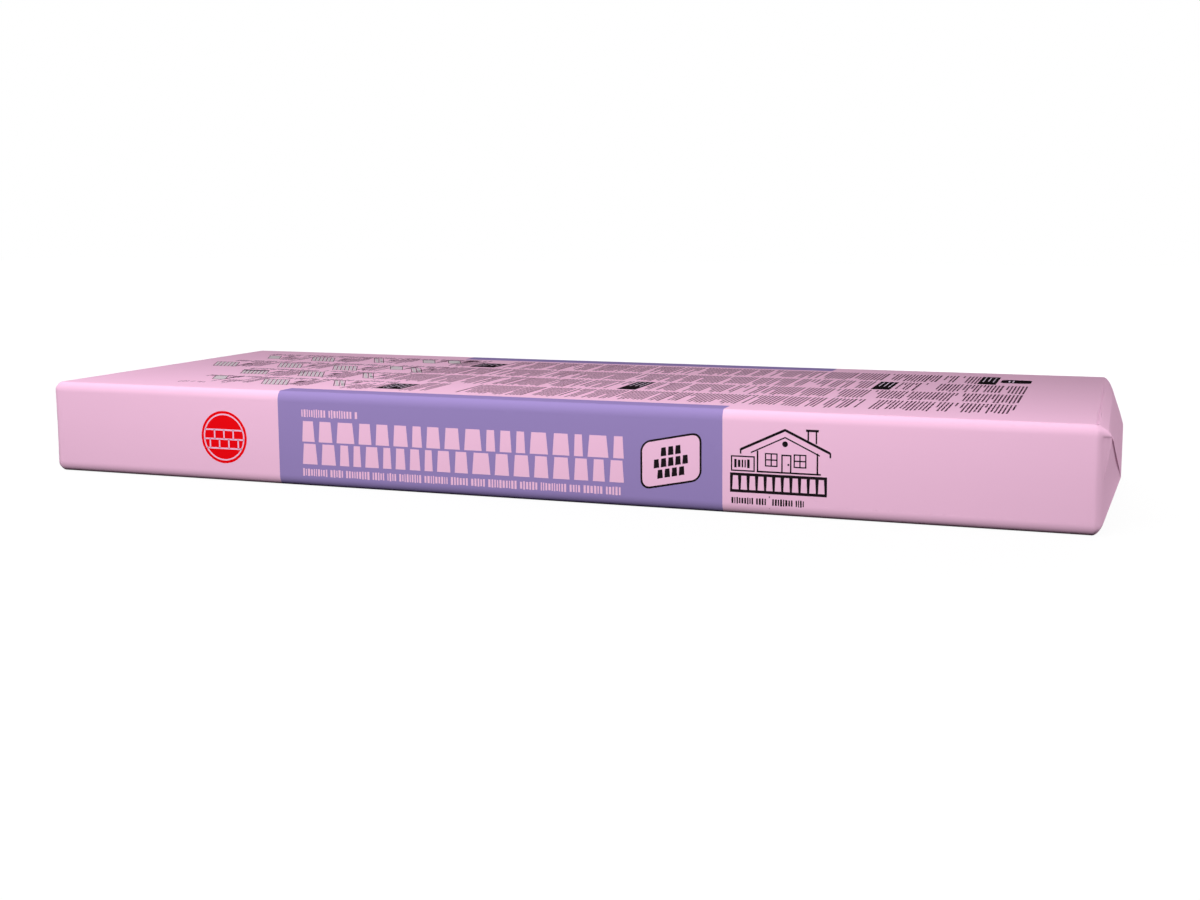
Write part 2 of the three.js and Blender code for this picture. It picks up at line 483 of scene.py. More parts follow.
# The share of that stand: all of it on the flap, less on the side fold, fading round the corners.
def standShare(co):
    s = wrap
    up, side = shares(co)
    start = s["drop"] / midZ
    if up <= start + s["rootSlack"]:
        share = min(1, (halfWidth - abs(co.y)) / s["sideReach"]) ** 3
    elif side < up:
        share = max(0, side - start + s["cornerBlend"]) / (up - start + s["cornerBlend"])
    else:
        share = 1
    share *= max(0, min(1, (halfWidth - co.y - s["standFrom"]) / s["standRun"]))
    near = max(0, 1 - (halfWidth + co.y) / s["frontRun"])
    below = max(0, min(1, (topZ - co.z - s["flapCrease"][1]) / s["frontFade"]))
    return share * (1 + s["frontStand"] * near * below)


# The right end's top flap stands off its fold, with a valley along its root and a crease below that.
def standFlap(film):
    s = wrap
    for vertex in film.data.vertices:
        co = vertex.co
        rowX = co.x - halfLength + s["endReach"]
        if co.z < midZ or rowX < -s["support"] - tiny:
            continue
        share = standShare(co)
        if rowX < -tiny:  # on the top, only the row beside the root goes with it
            if co.z > topZ - tiny:
                co.x += flapStand(topZ) * share
            continue
        co.x += flapStand(co.z) * share
        co.z -= s["rootCrease"] * share * max(0, 1 - (topZ - co.z) / s["rootRun"])
    film.data.update()


# The hips are where a top or bottom flap meets a side fold, at 45 degrees.
def onUpperHip(edge):
    if edge.verts[0].co.y * edge.verts[1].co.y < 0:
        return False
    lowest = midZ + wrap["crestHeight"] / 4
    for vertex in edge.verts:
        up, side = shares(vertex.co)
        if abs(up - side) > wrap["hipSlack"] or vertex.co.z < lowest or abs(vertex.co.x) < halfLength:
            return False
    return True


# 0 at both ends of a fold's free edge, 1 along most of it.
def hipSwell(co):
    up, _ = shares(co)
    start = wrap["drop"] / midZ
    along = max(0, min(1, (up - start) / (1 - start - wrap["crestHeight"] / topZ)))
    rootFade = wrap["rightLipFade"] if co.x > 0 else wrap["lipFade"]
    return min(1, along / rootFade) * min(1, (1 - along) / wrap["lipFade"])


def isFlap(face):
    up, side = shares(face.calc_center_median())
    return up < side


# How far the new edge of a flap's lip, or of the film under it, goes past the hip and outward.
def lapAndLift(co, flap):
    s = wrap
    swell = hipSwell(co)
    if flap:
        return diagonal * s["lipOverlap"] * swell, s["lipLift"] * swell
    room = max(0, shares(co)[0] * midZ - s["drop"])
    lap = -min(diagonal * s["underlap"] * min(1, 2 * swell), room)
    lean = s["crestReach"] / midZ
    return lap, lap * lean - s["underDip"] * swell


# The top flap of each end is a free edge over the side fold: it stands off a little and laps past the
# crease, and the side fold runs on under it.
def liftFlaps(film):
    edit(film, "EDGE")
    pickEdges(film, onUpperHip)
    bpy.ops.mesh.edge_split(type="EDGE")

    def onLip(edge, flap):
        return edge.is_boundary and onUpperHip(edge) and isFlap(edge.link_faces[0]) == flap

    for flap in (True, False):
        bpy.ops.mesh.select_all(action="DESELECT")
        pickEdges(film, lambda edge: onLip(edge, flap))
        if flap:
            mesh = bmesh.from_edit_mesh(film.data)
            for vertex in mesh.verts:
                if vertex.select:
                    vertex.co.x += math.copysign(wrap["lipRoom"] * hipSwell(vertex.co), vertex.co.x)
        bpy.ops.mesh.extrude_edges_move()
        mesh = bmesh.from_edit_mesh(film.data)
        for vertex in mesh.verts:
            if vertex.select:
                lap, lift = lapAndLift(vertex.co, flap)
                vertex.co.x += math.copysign(1, vertex.co.x) * lift
                vertex.co.y += math.copysign(1, vertex.co.y) * lap
                vertex.co.z -= lap
        bmesh.update_edit_mesh(film.data)
    done()


# The crest's ends lie nearer to the long sides than square folds would leave them.
def narrowGussets(film):
    s = wrap
    square = midZ - s["drop"] + s["sideReach"]
    share = (s["gussetDepth"] - s["sideReach"]) / (square - s["sideReach"])
    for vertex in film.data.vertices:
        co = vertex.co
        if abs(co.x) < halfLength - slack or not onEndFace(co):
            continue
        depth = min(halfWidth - abs(co.y), square) - s["sideReach"]
        co.y += math.copysign(depth * (1 - share), co.y)
    film.data.update()


# The film is drawn round over the body's corners, so no edge there is shaded sharp.
def softenCorners(film):
    s = wrap
    edit(film, "EDGE")

    def atCorner(co):
        outX = abs(co.x) > halfLength - s["endReach"] - slack
        outY = abs(co.y) > halfWidth - s["sideReach"] - slack
        return outX and outY and abs(co.z - midZ) > midZ - s["drop"] - slack

    pickEdges(film, lambda edge: all(atCorner(vertex.co) for vertex in edge.verts))
    bpy.ops.mesh.mark_sharp(clear=True)
    done()


def weldSeam(film):
    low, high = wrap["seam"]
    edge = wrap["seamEdge"]
    for y in (low, low + edge, high - edge, high):
        cut(film, (0, y, 0), (0, 1, 0), lambda c, n: n.z < -facing)
    for vertex in film.data.vertices:
        if low + edge / 2 < vertex.co.y < high - edge / 2 and vertex.co.z < tiny:
            vertex.co.z += wrap["seamDip"]
    film.data.update()


film = addWrapper()
cut(film, (0, 0, midZ), (0, 0, 1))
foldEnds(film)
addSupportCuts(film)
cutBands(film)
weldSeam(film)
cutFlaps(film)
raiseEnds(film)
standFlap(film)
liftFlaps(film)
narrowGussets(film)
wall = film.modifiers.new("wall", "SOLIDIFY")
wall.thickness = wrap["film"]
wall.offset = -1
applyAll(film)
film.data.materials.append(filmPaint("pink_film", inks["pink"]))
film.data.materials.append(filmPaint("lilac_film", inks["lilac"]))
focus(film)
bpy.ops.object.shade_smooth_by_angle(angle=math.radians(wrap["smoothAngle"]))
softenCorners(film)
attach(film, "root")
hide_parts("film_wrapper")
print("film wrapper", len(film.data.vertices), "vertices")


chance = random.Random(11)
paints = {
    "pink": filmPaint("pink_panel", inks["pink"]),
    "pale": inkPaint("pale_ink", inks["pale"]),
    "black": inkPaint("black_ink", inks["black"]),
    "red": inkPaint("red_ink", inks["red"]),
    "grey": inkPaint("grey_ink", inks["grey"]),
    "finePrint": finePrintPaint("fine_print_ink", inks["print"], inks["pink"]),
}

# Where each layer of ink begins and ends, in mm off the film.
inkLayers = {"first": (-0.02, 0.04), "second": (0, 0.07), "third": (0.02, 0.095)}

masters = {
    "tabTop": 0.8,  # how wide a tab's top is beside its foot
    "cornerSteps": 7,
    "discSides": 20,
    "roundelSides": 64,
    "ringWide": 0.03,
    "arrowHead": (5, 0.4),  # how many times as wide as the shaft, and how long beside it
    "arrowTip": 0.02,
}


# The parts of a mesh that stamp needs, in place of the object itself.
def asMaster(obj):
    shape = [v.co.copy() for v in obj.data.vertices], [tuple(f.vertices) for f in obj.data.polygons]
    bpy.data.objects.remove(obj)
    return shape


# Masters lie flat, one unit wide, deep and thick, and are stamped at their real size.
def addBlock():
    bpy.ops.mesh.primitive_cube_add(size=1, location=(0, 0, 0.5))
    block = bpy.context.object
    bpy.ops.object.transform_apply()
    return block


def tabMaster():
    tab = addBlock()
    edit(tab)
    pickFaces(tab, lambda c, n: n.y > facing)
    bpy.ops.transform.resize(value=(masters["tabTop"], 1, 1))
    done()
    return asMaster(tab)


# A bar bent up in the middle, like the edge of a gabled roof.
def gableMaster(rise):
    gable = addBlock()
    cut(gable, (0, 0, 0), (1, 0, 0))
    edit(gable, "VERT")
    mesh = bmesh.from_edit_mesh(gable.data)
    for vertex in mesh.verts:
        vertex.select_set(abs(vertex.co.x) < 0.01)
    bmesh.update_edit_mesh(gable.data)
    bpy.ops.transform.translate(value=(0, rise, 0))
    done()
    return asMaster(gable)


# A panel with rounded corners, made at its real size.
def labelMaster(width, height, radius):
    label = addBlock()
    label.scale = (width, height, 1)
    bpy.ops.object.transform_apply()
    edit(label, "EDGE")
    pickEdges(label, lambda edge: abs(edge.verts[0].co.z - edge.verts[1].co.z) > 0.5)
    bpy.ops.mesh.bevel(offset=radius, segments=masters["cornerSteps"], profile=0.5, affect="EDGES")
    done()
    return asMaster(label)


def discMaster(sides):
    bpy.ops.mesh.primitive_cylinder_add(vertices=sides, radius=0.5, depth=1, location=(0, 0, 0.5))
    disc = bpy.context.object
    bpy.ops.object.transform_apply()
    return asMaster(disc)


def ringMaster(sides):
    bpy.ops.mesh.primitive_cylinder_add(vertices=sides, radius=0.5, depth=1, location=(0, 0, 0.5))
    hoop = bpy.context.object
    bpy.ops.object.transform_apply()
    edit(hoop)
    pickFaces(hoop, lambda c, n: abs(n.z) > facing)
    bpy.ops.mesh.inset(thickness=masters["ringWide"])
    bpy.ops.mesh.bridge_edge_loops()
    done()
    return asMaster(hoop)


def arrowMaster():
    wider, longer = masters["arrowHead"]
    arrow = addBlock()
    edit(arrow)
    pickFaces(arrow, lambda c, n: n.x > facing)
    bpy.ops.mesh.extrude_region_move(TRANSFORM_OT_translate={"value": (0.001, 0, 0)})
    bpy.ops.transform.resize(value=(1, wider, 1))
    bpy.ops.mesh.extrude_region_move(TRANSFORM_OT_translate={"value": (longer, 0, 0)})
    bpy.ops.transform.resize(value=(1, masters["arrowTip"], 1))
    done()
    return asMaster(arrow)


block = asMaster(addBlock())
tab = tabMaster()
disc = discMaster(masters["discSides"])
roundel = discMaster(masters["roundelSides"])
ring = ringMaster(masters["roundelSides"])
arrow = arrowMaster()


# Where and how a master is stamped. Places and sizes of the print are in mm, turns in degrees.
def mark(shape, u, v, width, height, turn=0, slant=0):
    return shape, u, v, width, height, math.radians(turn), slant


def line(u1, v1, u2, v2, thick):
    long = math.hypot(u2 - u1, v2 - v1)
    turn = math.degrees(math.atan2(v2 - v1, u2 - u1))
    return mark(block, (u1 + u2) / 2, (v1 + v2) / 2, long, thick, turn)


# How far the side has curved inward at this height.
def shoulderDip(z):
    near = max(0, wrap["drop"] - min(z, topZ - z)) / wrap["drop"]
    return wrap["sideReach"] * (1 - math.sqrt(max(0, 1 - near * near)))


# The place of a point u along a face, v up or across it and w off it.
def onSurface(surface, u, v, w):
    if surface == "top":
        return u, v, topZ + w
    dip = shoulderDip(v)
    if surface == "front":
        return u, dip - halfWidth - w, v
    return -u, halfWidth + w - dip, v


def stamp(name, surface, paint, marks, layer="first"):
    points, faces = [], []
    low, high = inkLayers[layer]
    for (corners, sides), u, v, width, height, turn, slant in marks:
        first = len(points)
        for corner in corners:
            x, y = corner.x * width, corner.y * height
            y += slant * x
            right = u + x * math.cos(turn) - y * math.sin(turn)
            up = v + x * math.sin(turn) + y * math.cos(turn)
            out = low + (high - low) * corner.z
            points.append(onSurface(surface, right * mm, up * mm, out * mm))
        faces += [tuple(first + index for index in side) for side in sides]
    mesh = bpy.data.meshes.new(name)
    mesh.from_pydata(points, [], faces)
    obj = bpy.data.objects.new(name, mesh)
    bpy.context.collection.objects.link(obj)
    edit(obj)
    bpy.ops.mesh.select_all(action="SELECT")
    bpy.ops.mesh.normals_make_consistent(inside=False)
    done()
    mesh.materials.append(paints[paint])
    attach(obj, "root")
    return obj


ticks = {
    "group": (4, 10),  # fewest and most in a word
    "wide": (0.14, 0.3),  # these as shares of the row's height
    "tall": (0.8, 1),
    "gap": 0.15,
    "space": 0.3,
}


# A row of small upright marks in groups, at the scale of a caption.
def tickRow(left, right, v, tall):
    t = ticks
    marks = []
    u = left
    while u < right - tall * t["space"]:
        for _ in range(chance.randint(*t["group"])):
            wide = tall * chance.uniform(*t["wide"])
            if u + wide > right:
                break
            marks.append(mark(block, u + wide / 2, v, wide, tall * chance.uniform(*t["tall"])))
            u += wide + tall * t["gap"]
        u += tall * t["space"]
    return marks


sidePrint = {
    "middle": 507.4,  # what is measured from the left end is centred by this
    "backShift": 20,  # how much farther along the back's print lies
}

shingleMark = {
    "place": (199.8, 43),  # from the left end, up
    "across": 51,
    "rim": 2.6,
    "rules": (7, -2, -11),  # up from its middle
    "stroke": 1.5,
    "ruleRoom": 0.8,
    "joint": 9,
    "jointPitch": 10.5,
    "jointRoom": 2.5,
}


# A red roundel with pale courses of shingles.
def printShingleMark(surface, off):
    s = shingleMark
    u, v = s["place"]
    u += off
    stamp("roundel_" + surface, surface, "red", [mark(roundel, u, v, s["across"], s["across"])])
    inside = s["across"] - 2 * s["rim"]
    lines = []
    for row, height in enumerate(s["rules"]):
        half = math.sqrt(inside * inside / 4 - height * height) - s["ruleRoom"]
        lines.append(mark(block, u, v + height, 2 * half, s["stroke"]))
        if row == len(s["rules"]) - 1:
            continue
        for place in range(-2, 3):
            at = (place + 0.5 * (row % 2)) * s["jointPitch"]
            if abs(at) < half - s["jointRoom"]:
                lines.append(mark(block, u + at, v + height - s["joint"] / 2, s["stroke"], s["joint"]))
    stamp("roundel_ring_" + surface, surface, "pink", [mark(ring, u, v, inside, inside)], "second")
    stamp("roundel_courses_" + surface, surface, "pink", lines, "second")


courses = {
    "span": (286.7, 611),
    "rows": ((52.7, 19.6), (31.2, 19.6)),  # up, tall
    "wide": (8, 20),  # the narrowest and the widest tab
    "slot": 4.4,
    "leastStart": 6,  # no tab begins in less room than this,
    "leastRest": 11,  # and the last one takes what room is left under this
    "captions": ((60, 70, 8), (322, 13.6, 7.6)),  # long, up, tall
}


# Two courses of tapered tabs, with a caption row above and below.
def printCourses(surface, off):
    c = courses
    left, right = (end + off for end in c["span"])
    marks = []
    for v, tall in c["rows"]:
        u = left
        while u < right - c["leastStart"]:
            wide = min(chance.uniform(*c["wide"]), right - u)
            if right - u - wide < c["leastRest"]:
                wide = right - u
            marks.append(mark(tab, u + wide / 2, v, wide, tall))
            u += wide + c["slot"]
    for long, v, tall in c["captions"]:
        marks += tickRow(left, left + long, v, tall)
    stamp("tab_courses_" + surface, surface, "pink", marks)


badge = {
    "place": (654.5, 43),
    "size": (56, 43),
    "corner": 9,
    "slant": 0.2,
    "rim": 1.8,
    "rows": (4, 5, 3),  # how many tabs, from the lowest row up
    "lowest": -10,  # up from its middle
    "pitch": (6.6, 9.6),
    "tab": (5.2, 7.6),
}


# A slanted badge with a stack of tabs.
def printBadge(surface, off):
    b = badge
    u, v = b["place"]
    u += off
    wide, tall = b["size"]
    slant, rim = b["slant"], b["rim"]
    outer = labelMaster(wide, tall, b["corner"])
    inner = labelMaster(wide - 2 * rim, tall - 2 * rim, b["corner"] - rim)
    stamp("badge_rim_" + surface, surface, "black", [mark(outer, u, v, 1, 1, 0, slant)])
    stamp("badge_panel_" + surface, surface, "pink", [mark(inner, u, v, 1, 1, 0, slant)], "second")
    tabs = []
    along, upward = b["pitch"]
    for row, count in enumerate(b["rows"]):
        for place in range(count):
            du = (place - (count - 1) / 2) * along
            up = v + b["lowest"] + upward * row + slant * du
            tabs.append(mark(tab, u + du, up, *b["tab"], 0, slant))
    stamp("badge_tabs_" + surface, surface, "black", tabs, "third")


house = {
    "strip": (750.4, 27.6, 84.7, 17),  # from the left end, up, wide, tall; the rest is placed from it
    "stripTabs": (-37.5, 7.5, 11),  # the first, their pitch, how many
    "stripTab": (5.6, 12),
    "roof": (6, 56.4, 78, 2.4, 7.6),  # along, up, wide, thick, and how far it rises to the ridge
    "soffit": (6, 54, 60, 1.3, 11),
    "outline": (  # each line from, to, and how thick
        (-18, 38, 37, 38, 1.4),
        (-18, 37.3, -18, 56, 1.4),
        (34, 37.3, 34, 56, 1.4),
        (-33, 57, -33, 52.6, 1.4),
        (45, 57, 45, 52.6, 1.4),
        (26, 66.6, 26, 75, 1.3),
        (33, 63.8, 33, 75, 1.3),
        (24, 75, 35, 75, 2),
    ),
    "windows": (-6, 19),
    "window": (
        (-5, 43, -5, 54, 1.1),
        (0, 43, 0, 54, 1.1),
        (5, 43, 5, 54, 1.1),
        (-5.5, 43.2, 5.5, 43.2, 1.1),
        (-5.5, 48.5, 5.5, 48.5, 1.1),
        (-5.5, 53.8, 5.5, 53.8, 1.1),
    ),
    "door": ((3.4, 38, 3.4, 53, 1.3), (11, 38, 11, 53, 1.3), (2.8, 53, 11.6, 53, 1.3)),
    "discs": ((9, 45, 1.8), (6, 62.6, 5)),  # the door's knob and the gable's vent
    "plate": (
        (-41, 38, -21, 38, 1.2),
        (-41, 50.4, -21, 50.4, 1.2),
        (-41, 37.4, -41, 51, 1.2),
        (-21, 37.4, -21, 51, 1.2),
    ),
    "captions": ((-38.6, -22.5, 44.2, 7.6), (-41, -10, 12, 6), (-5, 23, 12, 6)),  # from, to, up, tall
    "divider": ((-7.5, 6.4, -7.5, 17, 0.9),),
}


# A line drawing of a gabled house over a strip with tabs.
def printHouse(surface, off):
    h = house
    u, v, wide, tall = h["strip"]
    u += off

    def drawing(rows, at=u):
        return [line(at + u1, v1, at + u2, v2, thick) for u1, v1, u2, v2, thick in rows]

    drawn = [mark(block, u, v, wide, tall)]
    for along, up, broad, thick, rise in (h["roof"], h["soffit"]):
        drawn.append(mark(gableMaster(rise), u + along, up, broad, thick))
    drawn += drawing(h["outline"])
    for along in h["windows"]:
        drawn += drawing(h["window"], u + along)
    drawn += drawing(h["door"])
    drawn += [mark(disc, u + along, up, across, across) for along, up, across in h["discs"]]
    drawn += drawing(h["plate"])
    for start, end, up, high in h["captions"]:
        drawn += tickRow(u + start, u + end, up, high)
    drawn += drawing(h["divider"])
    stamp("house_drawing_" + surface, surface, "black", drawn)
    first, pitch, count = h["stripTabs"]
    tabs = [mark(tab, u + first + pitch * place, v, *h["stripTab"]) for place in range(count)]
    stamp("strip_tabs_" + surface, surface, "pink", tabs, "second")


for surface, shift in (("front", 0), ("back", sidePrint["backShift"])):
    off = shift - sidePrint["middle"]
    printShingleMark(surface, off)
    printCourses(surface, off)
    printBadge(surface, off)
    printHouse(surface, off)
print("side prints stamped")


sheet = {
    "columns": ((39.5, 104), (110.5, 172.5), (179, 241), (248, 311)),  # from the back edge
    "firstLine": 939,
    "lastLine": 334,
    "pitch": 3.42,
    "stroke": 1.55,
    "word": (1.8, 8.5),  # the shortest and the longest
    "gap": 0.9,
    "leastWord": 1.2,
    "lines": (1, 1, 2, 2, 3, 3, 4, 5, 6, 8),  # what the length of a paragraph is drawn from
    "bold": (0.2, 1.3),  # how many paragraphs begin with a bold line, and how bold
    "full": (0.86, 1),  # shares of a column that a line fills, and that a paragraph's last line does
    "last": (0.12, 0.9),
    "breaks": (0, 0, 0.3, 0.6, 1),  # line spaces between paragraphs
    "room": 1.5,  # kept clear round boxes and blanks
    "headers": ((0, 890, 908), (1, 797, 815), (2, 564, 583)),  # column, from, to
    "stubs": ((0, 338, 368, 64, 101), (3, 338, 366, 262, 302)),  # the same, and from and to across
    "blank": ((3, 397, 425), (0, 908, 943), (1, 846, 855), (3, 808, 816)),
    "boxWord": (3, 9),
    "boxGap": 1.4,
    "boxFill": (0.5, 0.82),  # how far across a box its lines go
    "boxMargin": 4,
    "label": (911, 940.5, 60, 87.5),  # from, to, and from and to across
    "labelCorner": 5,
    "labelBars": ((8, 1.6, 12), (12, 1.2, 17)),  # along the label, thick, long
}

drawings = {
    "cells": (  # from the left end, from the back edge, which drawing
        (71, 73, "deck"), (139, 77, "course"), (209, 72, "plan"), (270, 66, "deck"),
        (300, 62, "deck"), (62, 152, "course"), (141, 146, "course"), (214, 152, "course"),
        (268, 136, "deck"), (300, 150, "plan"), (142, 213, "nailed"), (211, 213, "course"),
        (277, 210, "plan"), (138, 266, "deck"), (216, 284, "course"), (284, 276, "plan"),
    ),
    "course": (29, 36, 22),  # wide, deep, and how far the drawing leans
    "nailed": (31, 30, 18),
    "deck": (15, 26, 16),
    "plan": (12, 38, 24),
    "strips": {"course": 6, "nailed": 7, "deck": 1, "plan": 2},
    "stripShare": 0.6,  # of the pitch, where a drawing has more than one strip
    "rule": (0.8, 3),  # thick, and how much longer than a strip
    "nail": (0.7, 7),  # wide as a share of the pitch, long
    "nailShift": (0.9, 3.5),  # toward the left as a share of the lean, down from the drawing's edge
    "edges": (1.2, 0.8),  # the far and the near line
    "bars": (8, 2.6, 9, 1.5, 13),  # three beside a drawing: along, their pitch, up, wide, tall
    "arrow": (7, -6, 9, 1.4),  # along, up, long, wide
    "captionShare": 0.88,  # how many of a caption's lines are there
    "captions": (  # column, from, to, where the lines begin and finish as shares of the column
        (0, 50, 332, (0, 0, 0.04), (0.12, 0.26)),
        (0, 92, 116, (0.3, 0.5), (0.8, 1)),
        (0, 166, 190, (0.1, 0.3), (0.7, 1)),
        (0, 230, 256, (0.1, 0.2), (0.5, 1)),
        (0, 308, 332, (0, 0.2), (0.7, 1)),
        (1, 52, 332, (0, 0, 0.1), (0.14, 0.24)),
        (1, 84, 112, (0.2, 0.3), (0.8, 1)),
        (1, 168, 194, (0, 0.2), (0.7, 1)),
        (1, 236, 262, (0.1, 0.3), (0.8, 1)),
        (1, 304, 332, (0.1, 0.2), (0.9, 1)),
        (2, 118, 332, (0, 0, 0.05), (0.1, 0.22)),
        (2, 172, 196, (0.1, 0.3), (0.8, 1)),
        (2, 238, 262, (0.1, 0.2), (0.7, 1)),
        (2, 296, 332, (0, 0.1), (0.8, 1)),
        (3, 116, 332, (0, 0.04), (0.1, 0.2)),
        (3, 150, 194, (0.1, 0.5), (0.7, 1)),
        (3, 240, 262, (0.1, 0.3), (0.8, 1)),
        (3, 306, 332, (0.3, 0.5), (0.9, 1)),
        (3, 120, 150, (0.84, 0.88), (0.95, 1)),
    ),
}


def alongTop(fromLeft):
    return fromLeft - sidePrint["middle"]


def acrossTop(fromBack):
    return filmHigh.y / mm - fromBack


# One line of text, across the bundle.
def wordLine(x, start, end, stroke):
    marks = []
    at = start
    while at < end - sheet["leastWord"]:
        long = min(chance.uniform(*sheet["word"]), end - at)
        marks.append(mark(block, alongTop(x), acrossTop(at + long / 2), stroke, long))
        at += long + sheet["gap"]
    return marks


def paragraphs(column, blocked):
    s = sheet
    start, end = s["columns"][column]
    boldShare, boldness = s["bold"]
    marks = []
    x = s["firstLine"]
    while x > s["lastLine"]:
        lines = chance.choice(s["lines"])
        bold = chance.random() < boldShare
        for number in range(lines):
            short = chance.uniform(*s["last"]) if number == lines - 1 else chance.uniform(*s["full"])
            free = all(not low - s["room"] < x < high + s["room"] for low, high in blocked)
            if free and x > s["lastLine"]:
                stroke = s["stroke"] * (boldness if bold and number == 0 else 1)
                marks += wordLine(x, start, start + (end - start) * short, stroke)
            x -= s["pitch"]
        x -= s["pitch"] * chance.choice(s["breaks"])
    return marks


# A black box, whose lines of text the film shows through.
def addBox(boxes, bars, low, high, start, end, rows):
    s = sheet
    across = acrossTop((start + end) / 2)
    boxes.append(mark(block, alongTop((low + high) / 2), across, high - low, end - start))
    for row in range(rows):
        x = high - (high - low) * (row + 0.8) / (rows + 0.6)
        reach = (end - start) * chance.uniform(*s["boxFill"])
        at = start + s["boxMargin"]
        while at < start + reach:
            long = chance.uniform(*s["boxWord"])
            bars.append(mark(block, alongTop(x), acrossTop(at + long / 2), 1, long))
            at += long + s["boxGap"]


def printText():
    s = sheet
    for column in range(len(s["columns"])):
        blocked = [(low, high) for owner, low, high in s["headers"] + s["blank"] if owner == column]
        blocked += [(low, high) for owner, low, high, _, _ in s["stubs"] if owner == column]
        stamp(f"fine_print_{column + 1}", "top", "finePrint", paragraphs(column, blocked))
    boxes, bars = [], []
    for column, low, high in s["headers"]:
        start, end = s["columns"][column]
        addBox(boxes, bars, low, high, start, end, 3)
    for _, low, high, start, end in s["stubs"]:
        addBox(boxes, bars, low, high, start, end, 4)
    low, high, start, end = s["label"]
    rounded = labelMaster(high - low, end - start, s["labelCorner"])
    across = acrossTop((start + end) / 2)
    boxes.append(mark(rounded, alongTop((low + high) / 2), across, 1, 1))
    bars += [mark(block, alongTop(low + at), across, thick, long) for at, thick, long in s["labelBars"]]
    stamp("header_boxes", "top", "black", boxes)
    stamp("header_bars", "top", "pale", bars, "second")


# One leaning strip of an oblique drawing, made at its real size.
def stripMaster(width, depth, lean):
    strip = addBlock()
    strip.scale = (width, depth, 1)
    bpy.ops.object.transform_apply()
    edit(strip)
    pickFaces(strip, lambda c, n: n.y > facing)
    bpy.ops.transform.translate(value=(-lean, 0, 0))
    done()
    return asMaster(strip)


# Laying instructions: oblique drawings of courses and decks, with details and captions round them.
def printDrawings():
    d = drawings
    pale, strokes, words = [], [], []
    thick, longer = d["rule"]
    nailWide, nailLong = d["nail"]
    nailBack, nailDown = d["nailShift"]
    farEdge, nearEdge = d["edges"]
    barAlong, barPitch, barUp, barWide, barTall = d["bars"]
    arrowAlong, arrowUp, arrowLong, arrowWide = d["arrow"]
    for u, v, kind in d["cells"]:
        wide, deep, lean = d[kind]
        u, v = alongTop(u), acrossTop(v)
        count = d["strips"][kind]
        pitch = wide / count
        strip = stripMaster(pitch * (d["stripShare"] if count > 1 else 1), deep, lean)
        rule = stripMaster(thick, deep + longer, lean)
        for number in range(count):
            at = u + lean / 2 - wide / 2 + pitch * (number + 0.5)
            pale.append(mark(strip, at, v, 1, 1))
            strokes.append(mark(rule, at - pitch / 2, v, 1, 1))
            if kind == "nailed":
                top = v + deep / 2 - nailDown
                strokes.append(mark(block, at - lean * nailBack, top, pitch * nailWide, nailLong))
        strokes.append(mark(rule, u + lean / 2 + wide / 2, v, 1, 1))
        left, right = u - wide / 2, u + wide / 2
        far, close = v + deep / 2 + 1, v - deep / 2 - 1
        strokes.append(line(left - lean / 2, far, right - lean / 2, far, farEdge))
        strokes.append(line(left + lean / 2, close, right + lean / 2, close, nearEdge))
        for part in (-1, 0, 1):
            along = right + barAlong + part * barPitch
            strokes.append(mark(block, along, v + barUp, barWide, barTall))
        turn = 90 * (count % 3)
        strokes.append(mark(arrow, right + arrowAlong, v + arrowUp, arrowLong, arrowWide, turn))
    for column, first, last, begins, finishes in d["captions"]:
        words += captions(column, first, last, begins, finishes)
    stamp("diagram_courses", "top", "grey", pale)
    stamp("diagram_strokes", "top", "black", strokes, "second")
    stamp("diagram_captions", "top", "finePrint", words)


# Lines from one place along the film to another, each over its own share of the column.
def captions(column, first, last, begins, finishes):
    start, end = sheet["columns"][column]
    words = []
    x = first
    while x < last:
        begin = start + (end - start) * chance.choice(begins)
        finish = start + (end - start) * chance.uniform(*finishes)
        if chance.random() < drawings["captionShare"]:
            words += wordLine(x, begin, finish, sheet["stroke"])
        x += sheet["pitch"]
    return words


printText()
printDrawings()
print("top print stamped")


for number in range(1, granules["shingles"] + 1):
    tone = granules["tones"][number % len(granules["tones"])]
    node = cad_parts[f"shingle_{number:02d}"]
    node.data.materials.clear()
    node.data.materials.append(granulePaint(f"granules_{number:02d}", tone))
print("shingles dressed")


studio = {
    "floorSize": 12,
    "floorDrop": 0.4 * mm,
    "floorGrey": 0.03,
    "keyPlace": (-0.05, -0.82, 0.77),
    "keyAim": (0, -0.15, 0.05),
    "keySize": (2.1, 0.2),
    "keyPower": 21.4,
    "backPlace": (0, 1.9, 0.22),
    "backAim": (0, 0, 0.05),
    "backSize": (2, 0.3),
    "backPower": 16,
    "leftPlace": (-2.1, 0.45, 0.6),
    "leftAim": (-0.4, 0, 0.05),
    "leftSize": (0.9, 0.9),
    "leftPower": 4,
    "fillPlace": (2.2, 0.3, 0.12),
    "fillAim": (0.45, 0, 0.05),
    "fillSize": (0.9, 0.2),
    "fillPower": 14,
    "ambient": 0.03,
    "glowNear": 0.945,  # how white the floor's glow is beside the bundle, where its shadow falls: lower there than far off, a painted shade round the bundle
    "glowReach": (0.5, 1.6),  # from where to where that grows to white
}


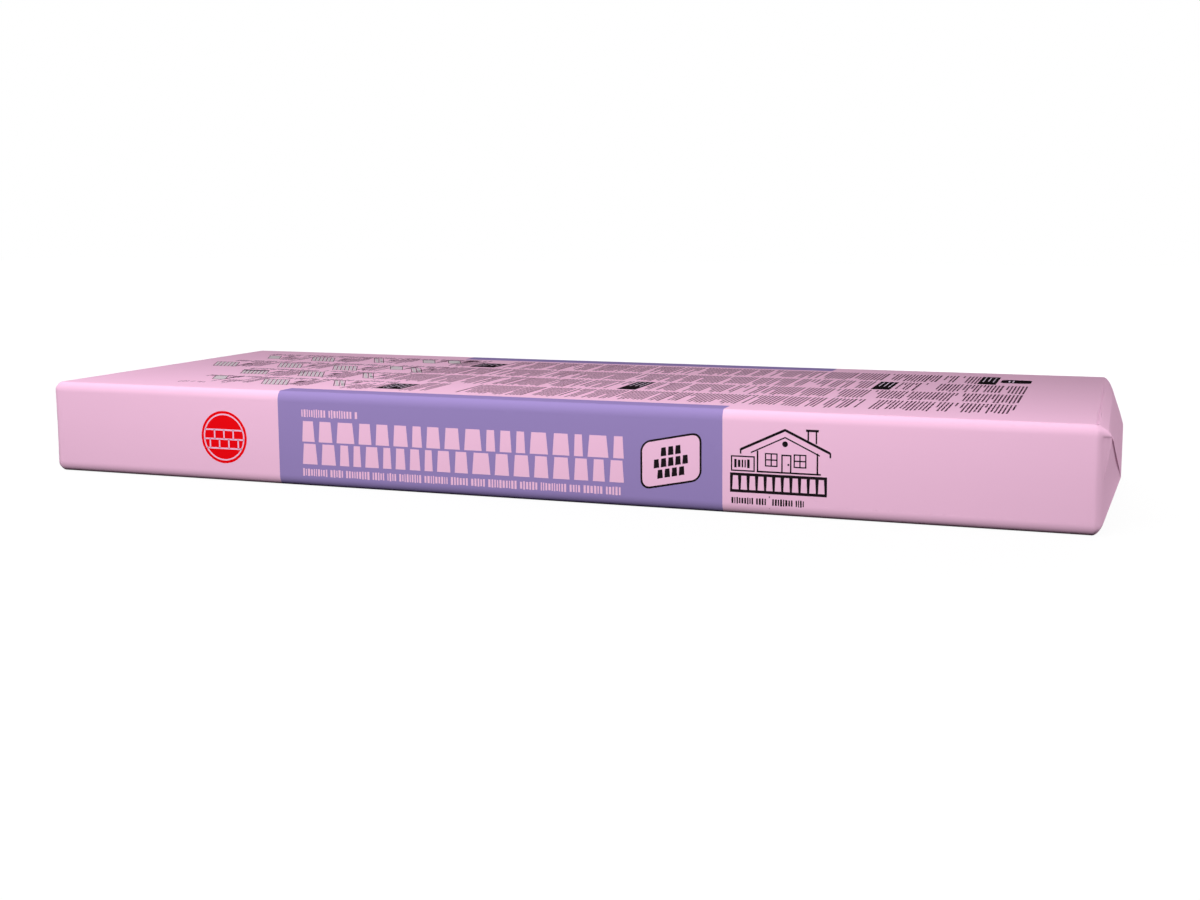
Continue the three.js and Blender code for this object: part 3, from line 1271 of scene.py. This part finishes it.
def addFloor():
    bpy.ops.mesh.primitive_plane_add(size=studio["floorSize"], location=(0, 0, -studio["floorDrop"]))
    floor = bpy.context.object
    floor.name = "floor"
    paint = bpy.data.materials.new("floor_paint")
    paint.use_nodes = True
    nodes, links = paint.node_tree.nodes, paint.node_tree.links
    shader = nodes["Principled BSDF"]
    shader.inputs["Base Color"].default_value = (studio["floorGrey"],) * 3 + (1,)
    shader.inputs["Roughness"].default_value = 0.9
    shader.inputs["Specular IOR Level"].default_value = 0.1
    glow = nodes.new("ShaderNodeEmission")
    add = nodes.new("ShaderNodeAddShader")
    coords = nodes.new("ShaderNodeTexCoord")
    length = nodes.new("ShaderNodeVectorMath")
    length.operation = "LENGTH"
    links.new(coords.outputs["Object"], length.inputs[0])
    # The glow is weaker near the bundle: a painted shade on the floor round it, under which the lamps'
    # own shadow still shows.
    spread = remap(nodes, links, length.outputs["Value"], studio["glowNear"], 1, *studio["glowReach"])
    only = nodes.new("ShaderNodeMath")
    only.operation = "MULTIPLY"
    links.new(spread, only.inputs[0])
    links.new(seenDirectly(nodes, links), only.inputs[1])
    links.new(only.outputs["Value"], glow.inputs["Strength"])
    links.new(shader.outputs["BSDF"], add.inputs[0])
    links.new(glow.outputs["Emission"], add.inputs[1])
    links.new(add.outputs["Shader"], nodes["Material Output"].inputs["Surface"])
    floor.data.materials.append(paint)


# 1 for what the camera sees, also in a reflection or through something clear.
def seenDirectly(nodes, links):
    path = nodes.new("ShaderNodeLightPath")
    value = path.outputs["Is Camera Ray"]
    for ray in ("Is Glossy Ray", "Is Transmission Ray"):
        either = nodes.new("ShaderNodeMath")
        either.operation = "MAXIMUM"
        links.new(value, either.inputs[0])
        links.new(path.outputs[ray], either.inputs[1])
        value = either.outputs["Value"]
    return value


def addLamp(name):
    place, aim, size = studio[name + "Place"], studio[name + "Aim"], studio[name + "Size"]
    bpy.ops.object.light_add(type="AREA", location=place)
    lamp = bpy.context.object
    lamp.name = name + "_lamp"
    lamp.data.shape = "RECTANGLE"
    lamp.data.size, lamp.data.size_y = size
    lamp.data.energy = studio[name + "Power"]
    lamp.rotation_euler = (Vector(place) - Vector(aim)).to_track_quat("Z", "Y").to_euler()
    lamp.visible_camera = False


# White to the camera, faint to everything it lights.
def setWorld():
    world = bpy.data.worlds.new("studio")
    bpy.context.scene.world = world
    world.use_nodes = True
    nodes, links = world.node_tree.nodes, world.node_tree.links
    background = nodes["Background"]
    background.inputs["Color"].default_value = (1, 1, 1, 1)
    strength = remap(nodes, links, seenDirectly(nodes, links), studio["ambient"], 1)
    links.new(strength, background.inputs["Strength"])


addFloor()
addLamp("key")
addLamp("fill")
addLamp("back")
addLamp("left")
setWorld()
bpy.context.scene.view_settings.view_transform = "Standard"
